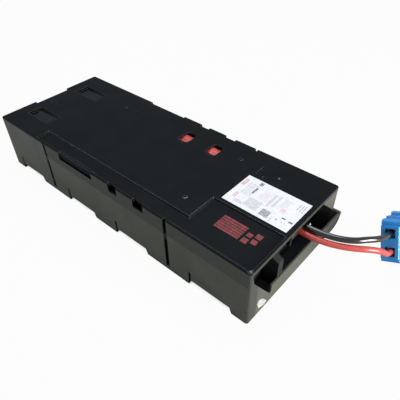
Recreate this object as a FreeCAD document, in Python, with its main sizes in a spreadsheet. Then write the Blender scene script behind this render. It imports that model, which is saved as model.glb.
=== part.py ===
"""Battery cartridge of a rack UPS: a moulded tray and cover around four sealed blocks.

Frame: +X is the lead end, +Y the far long side, +Z up. The origin is under the middle of
the cartridge, flared lip included, so the feet stand on z = 0. Lengths are millimetres.
"""
import FreeCAD, Part
import Sketcher
import math
import os

from FreeCAD import Vector

doc = FreeCAD.newDocument("battery_cartridge")
sheet = doc.addObject("Spreadsheet::Sheet", "Sizes")
sheet_rows = []


class Size:
    """A length that knows its value and the formula, in sheet words, that gives it."""

    def __init__(self, value, text):
        self.value = float(value)
        self.text = text

    def __add__(self, other):
        other = as_size(other)
        return Size(self.value + other.value, f"({self.text} + {other.text})")

    def __sub__(self, other):
        other = as_size(other)
        return Size(self.value - other.value, f"({self.text} - {other.text})")

    def __mul__(self, other):
        other = as_size(other)
        return Size(self.value * other.value, f"({self.text} * {other.text})")

    def __truediv__(self, other):
        other = as_size(other)
        return Size(self.value / other.value, f"({self.text} / {other.text})")

    def __neg__(self):
        return Size(-self.value, f"(0 - {self.text})")

    def __rsub__(self, other):
        return as_size(other) - self

    __radd__ = __add__
    __rmul__ = __mul__


def as_size(number):
    """A bare number becomes a size with a formula of its own."""
    return number if isinstance(number, Size) else Size(number, f"{number:g}")


def given(alias, value, note):
    """Write one driving dimension into the sheet and hand back its size."""
    row = len(sheet_rows) + 1
    sheet_rows.append(alias)
    sheet.set(f"A{row}", alias)
    sheet.set(f"B{row}", str(value))
    sheet.set(f"C{row}", note)
    sheet.setAlias(f"B{row}", alias)
    return Size(value, f"Sizes.{alias}")


# ---------------------------------------------------------------- driving dimensions
case_length = given("case_length", 442.0, "cartridge along its leads, without the flared lip")
case_width = given("case_width", 168.0, "cartridge across its leads")
wall = given("wall", 2.5, "wall of tray and skirt")
corner_radius = given("corner_radius", 3.0, "outer upright corners")
floor_thickness = given("floor_thickness", 2.2, "floor of the tray")
foot_height = given("foot_height", 2.0, "floor above the ground")
cover_thickness = given("cover_thickness", 2.2, "plate of the cover")
cover_rim = given("cover_rim", 4.0, "depth of the rim round the cover")
cover_edge_round = given("cover_edge_round", 1.2, "rounding of the top edge")
skirt_drop = given("skirt_drop", 22.0, "seam between tray and skirt below the top")
lap_rise = given("lap_rise", 7.0, "lap rib above the seam")
lap_gap = given("lap_gap", 0.2, "clearance between lap rib and skirt")
lap_thickness = given("lap_thickness", 1.4, "lap rib behind the skirt")
fit_gap = given("fit_gap", 0.2, "clearance of loose pieces")

battery_depth = given("battery_depth", 94.0, "block, foot to lid, along the cartridge")
battery_width = given("battery_width", 151.0, "block across the cartridge")
battery_height = given("battery_height", 65.0, "block lying on its side")
terminal_gap = given("terminal_gap", 9.0, "room for terminals in front of each block")
rear_gap = given("rear_gap", 1.5, "room behind the rear block")
lead_room = given("lead_room", 8.6, "room between the blocks and the cover")
divider_wall = given("divider_wall", 2.5, "wall between the blocks and the pocket")

lid_depth = given("lid_depth", 16.0, "lid of a block")
lid_step = given("lid_step", 0.6, "lid stands proud of the case by this much")
block_corner = given("block_corner", 2.5, "rounded corner of a block")
vent_length = given("vent_length", 96.0, "vent strip")
vent_width = given("vent_width", 26.0, "vent strip")
vent_depth = given("vent_depth", 1.2, "recess of the vent strip in the lid")
terminal_offset = given("terminal_offset", 60.0, "terminal from the middle of the block")
terminal_edge = given("terminal_edge", 14.0, "terminal from the long edge of the block")
well_side = given("well_side", 12.0, "square well round a terminal")
well_depth = given("well_depth", 3.0, "depth of a terminal's well")
tab_width = given("tab_width", 6.35, "blade terminal")
tab_thickness = given("tab_thickness", 0.8, "blade terminal")
tab_reach = given("tab_reach", 6.4, "blade beyond the lid")

slot_width = given("slot_width", 4.0, "upright slots in the long sides")
rear_slot = given("rear_slot", 102.5, "rear slot from the rear face")
front_slot = given("front_slot", 115.5, "front slot from the front face")
slot_bottom = given("slot_bottom", 5.6, "lower end of the slots")
slot_end = given("slot_end", 7.0, "upper end of the slots below the seam")
slot_cut = given("slot_cut", 5.5, "slots reach this far in from the side")
notch_cut = given("notch_cut", 8.0, "foot cut-outs reach this far in from the side")
notch_height = given("notch_height", 8.0, "foot cut-outs")
nick_width = given("nick_width", 3.0, "narrow nick at the rear end of a foot cut-out")
nick_height = given("nick_height", 21.0, "nick above the ground")
notch_slant = given("notch_slant", 3.0, "slanted front end of a foot cut-out")

window_drop = given("window_drop", 11.5, "lower edge of the windows below the top")
long_window_cut = given("long_window_cut", 6.0, "long window, in from the side")
short_window_cut = given("short_window_cut", 4.5, "short windows, in from the side")
long_window_start = given("long_window_start", 138.5, "long window from the rear face")
long_window_length = given("long_window_length", 66.0, "long window")
first_window_start = given("first_window_start", 236.0, "first short window from the rear")
first_window_length = given("first_window_length", 15.0, "first short window")
second_window_start = given("second_window_start", 278.5, "second short window from the rear")
second_window_length = given("second_window_length", 17.0, "second short window")
bar_thickness = given("bar_thickness", 1.6, "strap bars across the long window")

ledge_drop = given("ledge_drop", 2.5, "ledge below the raised plate")
ledge_rim = given("ledge_rim", 3.0, "rim left between the ledge and the edge")
ledge_width = given("ledge_width", 22.0, "far side of the long ledge from the near face")
ledge_start = given("ledge_start", 86.0, "rear end of the ledge from the rear face")
wide_ledge_length = given("wide_ledge_length", 97.0, "wide part of the ledge from the front")
wide_ledge_width = given("wide_ledge_width", 62.0, "far side of the wide part")
ledge_slope = given("ledge_slope", 35.0, "slope of the ledge's sides from upright, degrees")

hole_length = given("hole_length", 16.0, "first oval hole along the cartridge")
hole_width = given("hole_width", 23.0, "oval holes across the cartridge")
hole_round = given("hole_round", 5.5, "corner of the oval holes")
first_hole = given("first_hole", 242.0, "middle of the first hole from the rear")
second_hole = given("second_hole", 288.0, "middle of the second hole from the rear")
hole_line = given("hole_line", 47.0, "middle of the holes from the centre line")

scoop_start = given("scoop_start", 21.0, "lift scoops from the rear face")
scoop_length = given("scoop_length", 56.0, "lift scoops along the cartridge")
scoop_width = given("scoop_width", 22.0, "lift scoops across the cartridge")
scoop_depth = given("scoop_depth", 3.2, "deep rear end of the scoops")
scoop_offset = given("scoop_offset", 42.0, "middle of a scoop from the centre line")
thumb_width = given("thumb_width", 56.0, "thumb notch in the rear edge")
thumb_reach = given("thumb_reach", 6.0, "thumb notch along the cartridge")
thumb_depth = given("thumb_depth", 3.2, "depth of the thumb notch")

lip_height = given("lip_height", 24.0, "low front lip above the ground")
lip_gap_level = given("lip_gap_level", 13.0, "low corner beside the left post")
flare_start = given("flare_start", 128.0, "start of the flared lip from the near face")
flare_reach = given("flare_reach", 9.4, "flared lip stands proud of the front")
flare_height = given("flare_height", 46.0, "top of the flared lip")
post_width = given("post_width", 6.0, "left front post")
post_foot = given("post_foot", 39.0, "foot of the left post's gusset from the near face")
post_knee = given("post_knee", 18.0, "knee of the left post's gusset below the top")
gusset_start = given("gusset_start", 133.0, "right gusset from the near face")
gusset_level = given("gusset_level", 45.0, "lower end of the right gusset")

rib_reach = given("rib_reach", 5.2, "locating ribs, in from the wall")
rib_thickness = given("rib_thickness", 2.0, "locating ribs")
rib_height = given("rib_height", 46.0, "locating ribs above the floor")
stop_height = given("stop_height", 8.0, "stop ribs on the floor between the blocks")
stop_width = given("stop_width", 80.0, "stop ribs across the cartridge")
prop_thickness = given("prop_thickness", 9.0, "prop rib in the pocket")
prop_line = given("prop_line", 60.0, "middle of the prop rib from the near face")
prop_rear = given("prop_rear", 54.0, "prop rib's top at the divider, above the ground")
prop_front = given("prop_front", 44.0, "prop rib's top at the front, above the ground")
divider_drop = given("divider_drop", 3.4, "divider ends below the cover's plate")
gate_start = given("gate_start", 2.0, "lead gate in the divider from the centre line")
gate_width = given("gate_width", 33.0, "lead gate in the divider")
gate_drop = given("gate_drop", 24.0, "lower edge of the lead gate below the plate")

lead_diameter = given("lead_diameter", 6.8, "insulated battery lead")
link_diameter = given("link_diameter", 5.0, "insulated series link")
saddle_thickness = given("saddle_thickness", 8.0, "lead saddle along the cartridge")
saddle_width = given("saddle_width", 26.0, "lead saddle across the cartridge")
saddle_height = given("saddle_height", 21.8, "lead saddle below the plate")
red_drop = given("red_drop", 15.0, "red lead's exit below the plate")
red_side = given("red_side", 9.5, "red lead's exit from the centre line")
black_drop = given("black_drop", 8.8, "black lead's exit below the plate")
black_side = given("black_side", 14.0, "black lead's exit from the centre line")
saddle_inset = given("saddle_inset", 6.0, "saddle's front face behind the front plane")
receptacle_height = given("receptacle_height", 7.6, "push-on receptacle, out from the block")
receptacle_width = given("receptacle_width", 10.0, "push-on receptacle across")
receptacle_thickness = given("receptacle_thickness", 6.0, "push-on receptacle")

connector_length = given("connector_length", 50.0, "two-pole connector, rear to mating face")
connector_width = given("connector_width", 49.0, "two-pole connector, across both poles")
connector_thickness = given("connector_thickness", 19.5, "two-pole connector")
collar_step = given("collar_step", 6.0, "rear collar inside the grip, on each narrow side")
collar_length = given("collar_length", 3.5, "rear collar of the connector")
grip_step = given("grip_step", 2.0, "steps of the finger grip on the narrow sides")
pole_pitch = given("pole_pitch", 21.0, "distance between the poles")
pole_bore = given("pole_bore", 10.8, "wire entry of a pole")
entry_depth = given("entry_depth", 12.0, "depth of the wire entries")
mouth_depth = given("mouth_depth", 24.0, "depth of the mating mouth")
mouth_height = given("mouth_height", 16.0, "mating mouth of one pole")
mouth_width = given("mouth_width", 13.0, "mating mouth of one pole")
tongue_thickness = given("tongue_thickness", 2.8, "flat tongue of a contact")
spring_thickness = given("spring_thickness", 1.0, "leaf spring behind a tongue")
lean = given("lean", 22.0, "degrees that the connector leans to its side")
droop = given("droop", 22.0, "degrees that the connector's nose points down")

label_length = given("label_length", 83.5, "rating label along the cartridge")
label_width = given("label_width", 52.0, "rating label across the cartridge")
label_setback = given("label_setback", 6.0, "rating label from the front face")
label_side = given("label_side", 66.5, "rating label from the near face")
film = given("film", 0.2, "thickness of labels and print")
pin_head = given("pin_head", 2.6, "head of the pin on the cover's plate")
corner_pin_diameter = given("corner_pin_diameter", 3.0, "stud of the pin in the cover's corner")
corner_pin_inset = given("corner_pin_inset", 3.5, "corner pin from both edges of the cover")
corner_well = given("corner_well", 5.0, "well round the corner pin")
dot_diameter = given("dot_diameter", 5.0, "low moulded dots on the cover")
first_dot_start = given("first_dot_start", 320.8, "near dot from the rear face")
first_dot_side = given("first_dot_side", 41.5, "near dot from the near face")
second_dot_start = given("second_dot_start", 325.8, "far dot from the rear face")
second_dot_side = given("second_dot_side", 137.2, "far dot from the near face")
first_hold_down = given("first_hold_down", 44.0, "near hold-down rib from the near face")
second_hold_down = given("second_hold_down", 62.0, "far hold-down rib from the near face")
hold_down_end = given("hold_down_end", 6.0, "hold-down ribs end this far behind the wide ledge")
lead_fence = given("lead_fence", 2.5, "tab that hangs from the cover beside the leads")
lead_fence_side = given("lead_fence_side", -10.5, "that tab's near face from the centre line")
lead_fence_drop = given("lead_fence_drop", 21.5, "that tab below the plate")
card_thickness = given("card_thickness", 0.8, "insulating cards")
foam_width = given("foam_width", 7.0, "foam strips across the cartridge")

battery_count = 4
wire_sides = 8
doc.recompute()

# ---------------------------------------------------------------- derived dimensions
pitch = battery_depth + terminal_gap
side_room = (case_width - battery_width) / 2 - wall
floor_top = foot_height + floor_thickness
battery_top = floor_top + battery_height
plate_underside = battery_top + lead_room
case_height = plate_underside + cover_thickness
wall_top = case_height - cover_rim
rear = -(case_length + flare_reach) / 2
front = rear + case_length
near = -case_width / 2
far = case_width / 2
divider_x = rear + wall + rear_gap + battery_count * pitch
pocket_x = divider_x + divider_wall
ledge_level = case_height - ledge_drop
seam_level = case_height - skirt_drop
window_bottom = case_height - window_drop


# ---------------------------------------------------------------- helpers
def bind(thing, name, size):
    """Bind one property of an object to the sheet."""
    thing.setExpression(name, as_size(size).text)


def place(thing, x=0, y=0, z=0):
    """Bind an object's place to the sheet."""
    for axis, size in (("x", x), ("y", y), ("z", z)):
        bind(thing, f"Placement.Base.{axis}", size)


def new_body(label):
    body = doc.addObject("PartDesign::Body", label)
    body.Label = label
    return body


def sketch_on(body, role, offset=0):
    """An empty sketch on one of the body's own planes, moved along the plane's normal."""
    sketch = body.newObject("Sketcher::SketchObject", f"{body.Name}_sketch")
    plane = next(item for item in body.Origin.OriginFeatures if item.Role == role)
    sketch.AttachmentSupport = [(plane, "")]
    sketch.MapMode = "FlatFace"
    bind(sketch, "AttachmentOffset.Base.z", offset)
    return sketch


def draw_outline(sketch, points):
    """A closed outline of straight edges whose corners are bound to the sheet."""
    points = [(as_size(across), as_size(up)) for across, up in points]
    spots = [Vector(across.value, up.value, 0) for across, up in points]
    first = sketch.GeometryCount
    count = len(points)
    for index in range(count):
        sketch.addGeometry(Part.LineSegment(spots[index], spots[(index + 1) % count]))
    for index in range(count):
        here = first + index
        sketch.addConstraint(
            Sketcher.Constraint("Coincident", here, 2, first + (index + 1) % count, 1))
    for index, (across, up) in enumerate(points):
        for kind, size in (("DistanceX", across), ("DistanceY", up)):
            number = sketch.addConstraint(
                Sketcher.Constraint(kind, -1, 1, first + index, 1, size.value))
            sketch.setExpression(f"Constraints[{number}]", size.text)


def draw_circle(sketch, across, up, diameter):
    """A circle whose centre and diameter are bound to the sheet."""
    across, up, diameter = as_size(across), as_size(up), as_size(diameter)
    centre = Vector(across.value, up.value, 0)
    number = sketch.addGeometry(Part.Circle(centre, Vector(0, 0, 1), diameter.value / 2))
    for kind, size in (("DistanceX", across), ("DistanceY", up)):
        row = sketch.addConstraint(Sketcher.Constraint(kind, -1, 1, number, 3, size.value))
        sketch.setExpression(f"Constraints[{row}]", size.text)
    row = sketch.addConstraint(Sketcher.Constraint("Diameter", number, diameter.value))
    sketch.setExpression(f"Constraints[{row}]", diameter.text)


def rectangle(left, right, low, high):
    return [(left, low), (right, low), (right, high), (left, high)]


def pad(body, sketch, length, against=False):
    """Add a sketch's outlines, along the plane's normal or against it."""
    feature = body.newObject("PartDesign::Pad", f"{body.Name}_pad")
    feature.Profile = sketch
    bind(feature, "Length", length)
    feature.Reversed = against
    return feature


def pocket(body, sketch, length, along=False):
    """Cut a sketch's outlines, against the plane's normal or along it."""
    feature = body.newObject("PartDesign::Pocket", f"{body.Name}_pocket")
    feature.Profile = sketch
    bind(feature, "Length", length)
    feature.Reversed = along
    return feature


def mirror_across(body, *features):
    """Repeat side features on the far long side."""
    mirrored = body.newObject("PartDesign::Mirrored", f"{body.Name}_mirrored")
    plane = next(item for item in body.Origin.OriginFeatures if item.Role == "XZ_Plane")
    mirrored.Originals = list(features)
    mirrored.MirrorPlane = (plane, [""])
    body.Tip = mirrored
    return mirrored


def repeat_along(body, feature, step, count):
    """Repeat a feature along X."""
    pattern = body.newObject("PartDesign::LinearPattern", f"{body.Name}_pattern")
    axis = next(item for item in body.Origin.OriginFeatures if item.Role == "X_Axis")
    pattern.Originals = [feature]
    pattern.Direction = (axis, [""])
    pattern.Mode = "Spacing"
    bind(pattern, "Offset", step)
    pattern.Occurrences = count
    body.Tip = pattern
    return pattern


def round_edges(body, feature, radius, wanted):
    """Fillet the straight edges that pass the test, given their two end points."""
    doc.recompute()
    names = []
    for number, edge in enumerate(feature.Shape.Edges, start=1):
        ends = [vertex.Point for vertex in edge.Vertexes]
        if len(ends) == 2 and wanted(*ends):
            names.append(f"Edge{number}")
    fillet = body.newObject("PartDesign::Fillet", f"{body.Name}_fillet")
    fillet.Base = (feature, names)
    bind(fillet, "Radius", radius)
    body.Tip = fillet
    return fillet


def is_upright(start, end):
    return abs(start.x - end.x) < 1e-3 and abs(start.y - end.y) < 1e-3


def box(label, length, width, height, x, y, z):
    """A plain block with its low corner at x, y, z."""
    block = doc.addObject("Part::Box", label)
    block.Label = label
    for name, size in (("Length", length), ("Width", width), ("Height", height)):
        bind(block, name, size)
    place(block, x, y, z)
    return block


def cylinder(label, diameter, height, x, y, z, turn=None):
    """A round bar from x, y, z, upright unless it is turned."""
    bar = doc.addObject("Part::Cylinder", label)
    bind(bar, "Radius", as_size(diameter) / 2)
    bind(bar, "Height", height)
    if turn:
        bar.Placement.Rotation = FreeCAD.Rotation(*turn)
    place(bar, x, y, z)
    return bar


def fused(label, *pieces):
    joined = doc.addObject("Part::MultiFuse", label)
    joined.Label = label
    joined.Shapes = list(pieces)
    return joined


def cut(label, base, tool):
    remains = doc.addObject("Part::Cut", label)
    remains.Label = label
    remains.Base = base
    remains.Tool = tool
    return remains


def grouped(label, pieces):
    """Like pieces kept as separate solids of one node."""
    group = doc.addObject("Part::Compound", label)
    group.Label = label
    group.Links = list(pieces)
    return group


def shaped(label, shape):
    feature = doc.addObject("Part::Feature", label)
    feature.Label = label
    feature.Shape = shape
    return feature


along_x = (Vector(0, 1, 0), 90)
along_y = (Vector(1, 0, 0), -90)


def rounded_path(route, radius=None):
    """Straight runs joined by tangent arcs, of the given radius where the runs allow it."""
    spots = [Vector(*(as_size(part).value for part in spot)) for spot in route]
    edges = []
    radii = []
    start = spots[0]
    for before, here, after in zip(spots, spots[1:], spots[2:]):
        arriving = here - before
        leaving = after - here
        half_turn = arriving.getAngle(leaving) / 2
        if half_turn < 1e-4:
            edges.append(Part.LineSegment(start, here).toShape())
            start = here
            continue
        trim = 0.45 * min(arriving.Length, leaving.Length)
        if radius is not None:
            trim = min(trim, as_size(radius).value * math.tan(half_turn))
        bend = trim / math.tan(half_turn)
        arriving.normalize()
        leaving.normalize()
        arc_start = here - arriving * trim
        arc_end = here + leaving * trim
        inward = leaving - arriving
        inward.normalize()
        centre = here + inward * (bend / math.cos(half_turn))
        middle = centre - inward * bend
        edges.append(Part.LineSegment(start, arc_start).toShape())
        edges.append(Part.Arc(arc_start, middle, arc_end).toShape())
        radii.append(bend)
        start = arc_end
    edges.append(Part.LineSegment(start, spots[-1]).toShape())
    return Part.Wire(edges), radii


def wire_section(centre, heading, diameter):
    """Ring of a wire as a plain polygon, which keeps its long bends light."""
    ring = Part.Circle(centre, heading, diameter / 2)
    turn = 2 * math.pi / wire_sides
    corners = [ring.value(number * turn) for number in range(wire_sides)]
    return Part.Wire(Part.makePolygon(corners + corners[:1]))


def tube(label, route, diameter, radius=None):
    """A wire along a route; its volume is held against section times length."""
    path, radii = rounded_path(route, radius)
    diameter = as_size(diameter).value
    edge = path.Edges[0]
    heading = edge.tangentAt(edge.FirstParameter)
    ring = wire_section(path.Vertexes[0].Point, heading, diameter)
    shape = path.makePipeShell([ring], True, False)
    expected = Part.Face(ring).Area * path.Length
    print(f"{label}: length {path.Length:.1f}, radii", [round(bend) for bend in radii],
          f"volume ratio {shape.Volume / expected:.4f}")
    return shaped(label, shape)


# ---------------------------------------------------------------- tray
def foot_notch(start, end):
    """Outline of one foot cut-out: a nick at its rear end and a slanted front end."""
    nick_end = start + nick_width
    return [(start, -1), (start, nick_height), (nick_end, nick_height),
            (nick_end, notch_height), (end - notch_slant, notch_height), (end, -1)]


notch_starts = [given("notch_1_start", 22.0, "first foot cut-out from the rear"),
                given("notch_2_start", 138.0, "second foot cut-out from the rear"),
                given("notch_3_start", 236.5, "third foot cut-out from the rear"),
                case_length - given("notch_4_setback", 81.0, "fourth cut-out from the front")]
notch_lengths = [given("notch_1_length", 54.0, "first foot cut-out"),
                 given("notch_2_length", 57.0, "second foot cut-out"),
                 given("notch_3_length", 57.5, "third foot cut-out"),
                 given("notch_4_length", 60.5, "fourth foot cut-out")]


def tray_shell(body):
    """Block with rounded upright corners, hollowed from above and below."""
    outline = sketch_on(body, "XY_Plane")
    draw_outline(outline, rectangle(rear, front, near, far))
    block = pad(body, outline, wall_top)
    round_edges(body, block, corner_radius, is_upright)
    inside = rectangle(rear + wall, front - wall, near + wall, far - wall)
    hollow = sketch_on(body, "XY_Plane", wall_top)
    draw_outline(hollow, inside)
    pocket(body, hollow, wall_top - floor_top)
    underside = sketch_on(body, "XY_Plane")
    draw_outline(underside, inside)
    pocket(body, underside, foot_height, along=True)


def tray_sides(body):
    """Walls lowered to the seam ahead of the rear bay, with a lap rib behind the skirt."""
    lowered = sketch_on(body, "XZ_Plane", far + 1)
    draw_outline(lowered, rectangle(rear + rear_slot, front - wall, seam_level, wall_top + 1))
    pocket(body, lowered, case_width + 2)
    lap = sketch_on(body, "YZ_Plane", rear + rear_slot + slot_width)
    for side in (-1, 1):
        outer = side * (far - wall)
        behind = side * (far - wall - lap_gap)
        inner = side * (far - wall - lap_gap - lap_thickness)
        draw_outline(lap, [(outer, seam_level - 12), (outer, seam_level - fit_gap),
                           (behind, seam_level - fit_gap), (behind, seam_level + lap_rise),
                           (inner, seam_level + lap_rise), (inner, seam_level - 10)])
    pad(body, lap, front - wall - (rear + rear_slot + slot_width))


def tray_ribs(body):
    """Locating ribs on the long walls and stop ribs on the floor between the blocks."""
    first_rib = rear + wall + rear_gap + pitch / 4 - rib_thickness / 2
    ribs = sketch_on(body, "XY_Plane", floor_top)
    for low, high in ((near + wall, near + wall + rib_reach),
                      (far - wall - rib_reach, far - wall)):
        draw_outline(ribs, rectangle(first_rib, first_rib + rib_thickness, low, high))
    rib = pad(body, ribs, rib_height)
    repeat_along(body, rib, pitch / 2, 2 * battery_count)
    stops = sketch_on(body, "XY_Plane", floor_top)
    gap_start = rear + wall + rear_gap + battery_depth
    for low in (gap_start + fit_gap, gap_start + terminal_gap - card_thickness
                - 2 * fit_gap - rib_thickness):
        draw_outline(stops, rectangle(low, low + rib_thickness,
                                      -stop_width / 2, stop_width / 2))
    stop = pad(body, stops, stop_height)
    repeat_along(body, stop, pitch, battery_count - 1)


def tray_divider(body):
    """Wall between blocks and pocket, with a gate for the leads, and the prop rib."""
    top = plate_underside - divider_drop
    gate_bottom = plate_underside - gate_drop
    inner = far - wall
    divider = sketch_on(body, "YZ_Plane", divider_x)
    draw_outline(divider, [(-inner, floor_top), (inner, floor_top), (inner, top),
                           (gate_start + gate_width, top),
                           (gate_start + gate_width, gate_bottom),
                           (gate_start, gate_bottom), (gate_start, top), (-inner, top)])
    pad(body, divider, divider_wall)
    prop = sketch_on(body, "XZ_Plane", -(near + prop_line + prop_thickness / 2))
    draw_outline(prop, [(pocket_x, floor_top), (front - wall, floor_top),
                        (front - wall, prop_front), (pocket_x, prop_rear)])
    pad(body, prop, prop_thickness)


def tray_openings(body):
    """Upright slots and foot cut-outs in both long sides, and the mouth of the pocket."""
    slots = sketch_on(body, "XZ_Plane", far)
    split = front - front_slot
    for start in (rear + rear_slot, split):
        draw_outline(slots, rectangle(start, start + slot_width,
                                      slot_bottom, seam_level - slot_end))
    draw_outline(slots, rectangle(split, split + slot_width,
                                  seam_level - fit_gap / 2, wall_top + 1))
    slot = pocket(body, slots, slot_cut)
    notches = sketch_on(body, "XZ_Plane", far)
    for start, length in zip(notch_starts, notch_lengths):
        draw_outline(notches, foot_notch(rear + start, rear + start + length))
    notch = pocket(body, notches, notch_cut)
    mirror_across(body, slot, notch)
    mouth = sketch_on(body, "YZ_Plane", front)
    draw_outline(mouth, [(near + post_width / 2, wall_top + 1), (near + post_width / 2, wall_top - 1),
                         (near + post_width, case_height - post_knee), (near + post_foot, lip_gap_level),
                         (near + post_foot + wall, lip_gap_level),
                         (near + post_foot + wall, lip_height),
                         (near + flare_start, lip_height), (near + flare_start, floor_top),
                         (far - wall, floor_top), (far - wall, gusset_level),
                         (near + gusset_start, wall_top), (near + gusset_start, wall_top + 1)])
    pocket(body, mouth, wall)


def flare_arc(y, reach, top):
    """Foot, belly and crest of an arc that leans out and stands upright at its crest."""
    face = front.value
    radius = (reach ** 2 + top ** 2) / (2 * reach)
    belly = reach - radius + math.sqrt(radius ** 2 - (0.6 * top) ** 2)
    return (Vector(face, y, 0), Vector(face + belly, y, 0.4 * top),
            Vector(face + reach, y, top))


def flare_section(station, reach, top):
    """One upright slice of the flared lip: two like arcs a wall apart."""
    foot, belly, crest = flare_arc((near + station).value, reach, top)
    back = Vector(-wall.value, 0, 0)
    outer = Part.Arc(foot, belly, crest).toShape()
    inner = Part.Arc(crest + back, belly + back, foot + back).toShape()
    return Part.Wire([outer, Part.LineSegment(crest, crest + back).toShape(), inner,
                      Part.LineSegment(foot + back, foot).toShape()])


def flared_lip():
    """The front lip's far end: it rises and leans out, and a cheek closes its end."""
    reach = flare_reach.value
    top = flare_height.value
    span = case_width.value - flare_start.value
    stations = ((flare_start, 0.04 * reach, lip_height.value),
                (flare_start + 0.55 * span, 0.5 * reach, 0.45 * top + 0.55 * lip_height.value),
                (case_width, reach, top))
    skin = Part.makeLoft([flare_section(*station) for station in stations], True)
    corner, belly, crest = flare_arc(far.value, reach, top)
    foot = corner - Vector(wall.value, 0, 0)
    shoulder = Vector(foot.x, foot.y, top)
    outline = Part.Wire([Part.LineSegment(foot, corner).toShape(),
                         Part.Arc(corner, belly, crest).toShape(),
                         Part.LineSegment(crest, shoulder).toShape(),
                         Part.LineSegment(shoulder, foot).toShape()])
    cheek = Part.Face(outline).extrude(Vector(0, -wall.value, 0))
    return shaped("flared_lip", skin.fuse(cheek).removeSplitter())


def make_tray():
    body = new_body("tray_moulding")
    tray_shell(body)
    tray_sides(body)
    tray_ribs(body)
    tray_divider(body)
    tray_openings(body)
    doc.recompute()
    return fused("lower_tray", body, flared_lip())


# ---------------------------------------------------------------- cover
def ledge_outline(grow):
    """The L-shaped ledge, grown sideways by the given size."""
    start = rear + ledge_start - grow
    wide = front - wide_ledge_length - grow
    end = front - ledge_rim + grow
    low = near + ledge_rim - grow
    return [(start, low), (end, low), (end, near + wide_ledge_width + grow),
            (wide, near + wide_ledge_width + grow), (wide, near + ledge_width + grow),
            (start, near + ledge_width + grow)]


def cover_plate(body):
    """Plate with a rim, rounded on top, hollowed from below."""
    outline = sketch_on(body, "XY_Plane", wall_top)
    draw_outline(outline, rectangle(rear, front, near, far))
    plate = pad(body, outline, cover_rim)
    corners = round_edges(body, plate, corner_radius, is_upright)
    top = case_height.value

    def is_top(start, end):
        return abs(start.z - top) < 1e-3 and abs(end.z - top) < 1e-3

    round_edges(body, corners, cover_edge_round, is_top)
    under = sketch_on(body, "XY_Plane", wall_top)
    draw_outline(under, rectangle(rear + wall, front - wall, near + wall, far - wall))
    pocket(body, under, cover_rim - cover_thickness, along=True)


def cover_ledge(body):
    """The ledge: a thicker plate below and a tapered pocket from above."""
    below = sketch_on(body, "XY_Plane", ledge_level - cover_thickness)
    draw_outline(below, ledge_outline(0))
    pad(body, below, cover_thickness + 0.5)
    above = sketch_on(body, "XY_Plane", case_height)
    draw_outline(above, ledge_outline(0))
    ledge = pocket(body, above, ledge_drop)
    bind(ledge, "TaperAngle", -ledge_slope)


def cover_skirts(body):
    """Skirts that close the long sides above the seam."""
    skirts = sketch_on(body, "XY_Plane", seam_level)
    for low, high in ((near, near + wall), (far - wall, far)):
        draw_outline(skirts, rectangle(rear + rear_slot + slot_width, front - wall - fit_gap,
                                       low, high))
    pad(body, skirts, wall_top - seam_level)


def cover_windows(body):
    """Windows and the front slit in both long edges."""
    top = case_height + 1
    sides = sketch_on(body, "XZ_Plane", far)
    for start, length in ((first_window_start, first_window_length),
                          (second_window_start, second_window_length)):
        draw_outline(sides, rectangle(rear + start, rear + start + length,
                                      window_bottom, top))
    draw_outline(sides, rectangle(front - front_slot, front - front_slot + slot_width,
                                  seam_level - 1, top))
    short = pocket(body, sides, short_window_cut)
    long_side = sketch_on(body, "XZ_Plane", far)
    draw_outline(long_side, rectangle(rear + long_window_start,
                                      rear + long_window_start + long_window_length,
                                      window_bottom, top))
    long_one = pocket(body, long_side, long_window_cut)
    mirror_across(body, short, long_one)
    bars = sketch_on(body, "XY_Plane", window_bottom + 2.5)
    start = rear + long_window_start - 1
    end = rear + long_window_start + long_window_length + 1
    for side in (-1, 1):
        for inward in (wall - bar_thickness / 2, long_window_cut - bar_thickness):
            low = side * (far - inward)
            high = side * (far - inward - bar_thickness)
            draw_outline(bars, rectangle(start, end, low, high))
    pad(body, bars, case_height - window_bottom - 4.0)


def cover_scoops(body):
    """Two lift scoops with ramped floors near the rear edge, and the thumb notch."""
    deep = rear + scoop_start
    shallow = deep + scoop_length
    for middle in (-scoop_offset, scoop_offset):
        side = middle + scoop_width / 2
        under = sketch_on(body, "XZ_Plane", -(side + cover_thickness))
        draw_outline(under, [(deep - cover_thickness, plate_underside + 0.5),
                             (deep - cover_thickness, plate_underside - scoop_depth),
                             (deep, plate_underside - scoop_depth),
                             (shallow, plate_underside + 0.5)])
        pad(body, under, scoop_width + 2 * cover_thickness)
        ramp = sketch_on(body, "XZ_Plane", -side)
        draw_outline(ramp, [(deep, case_height + 1), (deep, case_height - scoop_depth),
                            (shallow, case_height), (shallow, case_height + 1)])
        pocket(body, ramp, scoop_width, along=True)
    thumb = sketch_on(body, "XY_Plane", case_height + 1)
    draw_outline(thumb, rectangle(rear - 1, rear + thumb_reach,
                                  -thumb_width / 2, thumb_width / 2))
    floor = sketch_on(body, "XY_Plane", plate_underside - thumb_depth)
    draw_outline(floor, rectangle(rear + wall + fit_gap, rear + thumb_reach + cover_thickness,
                                  -thumb_width / 2 - cover_thickness,
                                  thumb_width / 2 + cover_thickness))
    pad(body, floor, thumb_depth + 0.5)
    pocket(body, thumb, thumb_depth + 1)


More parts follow.
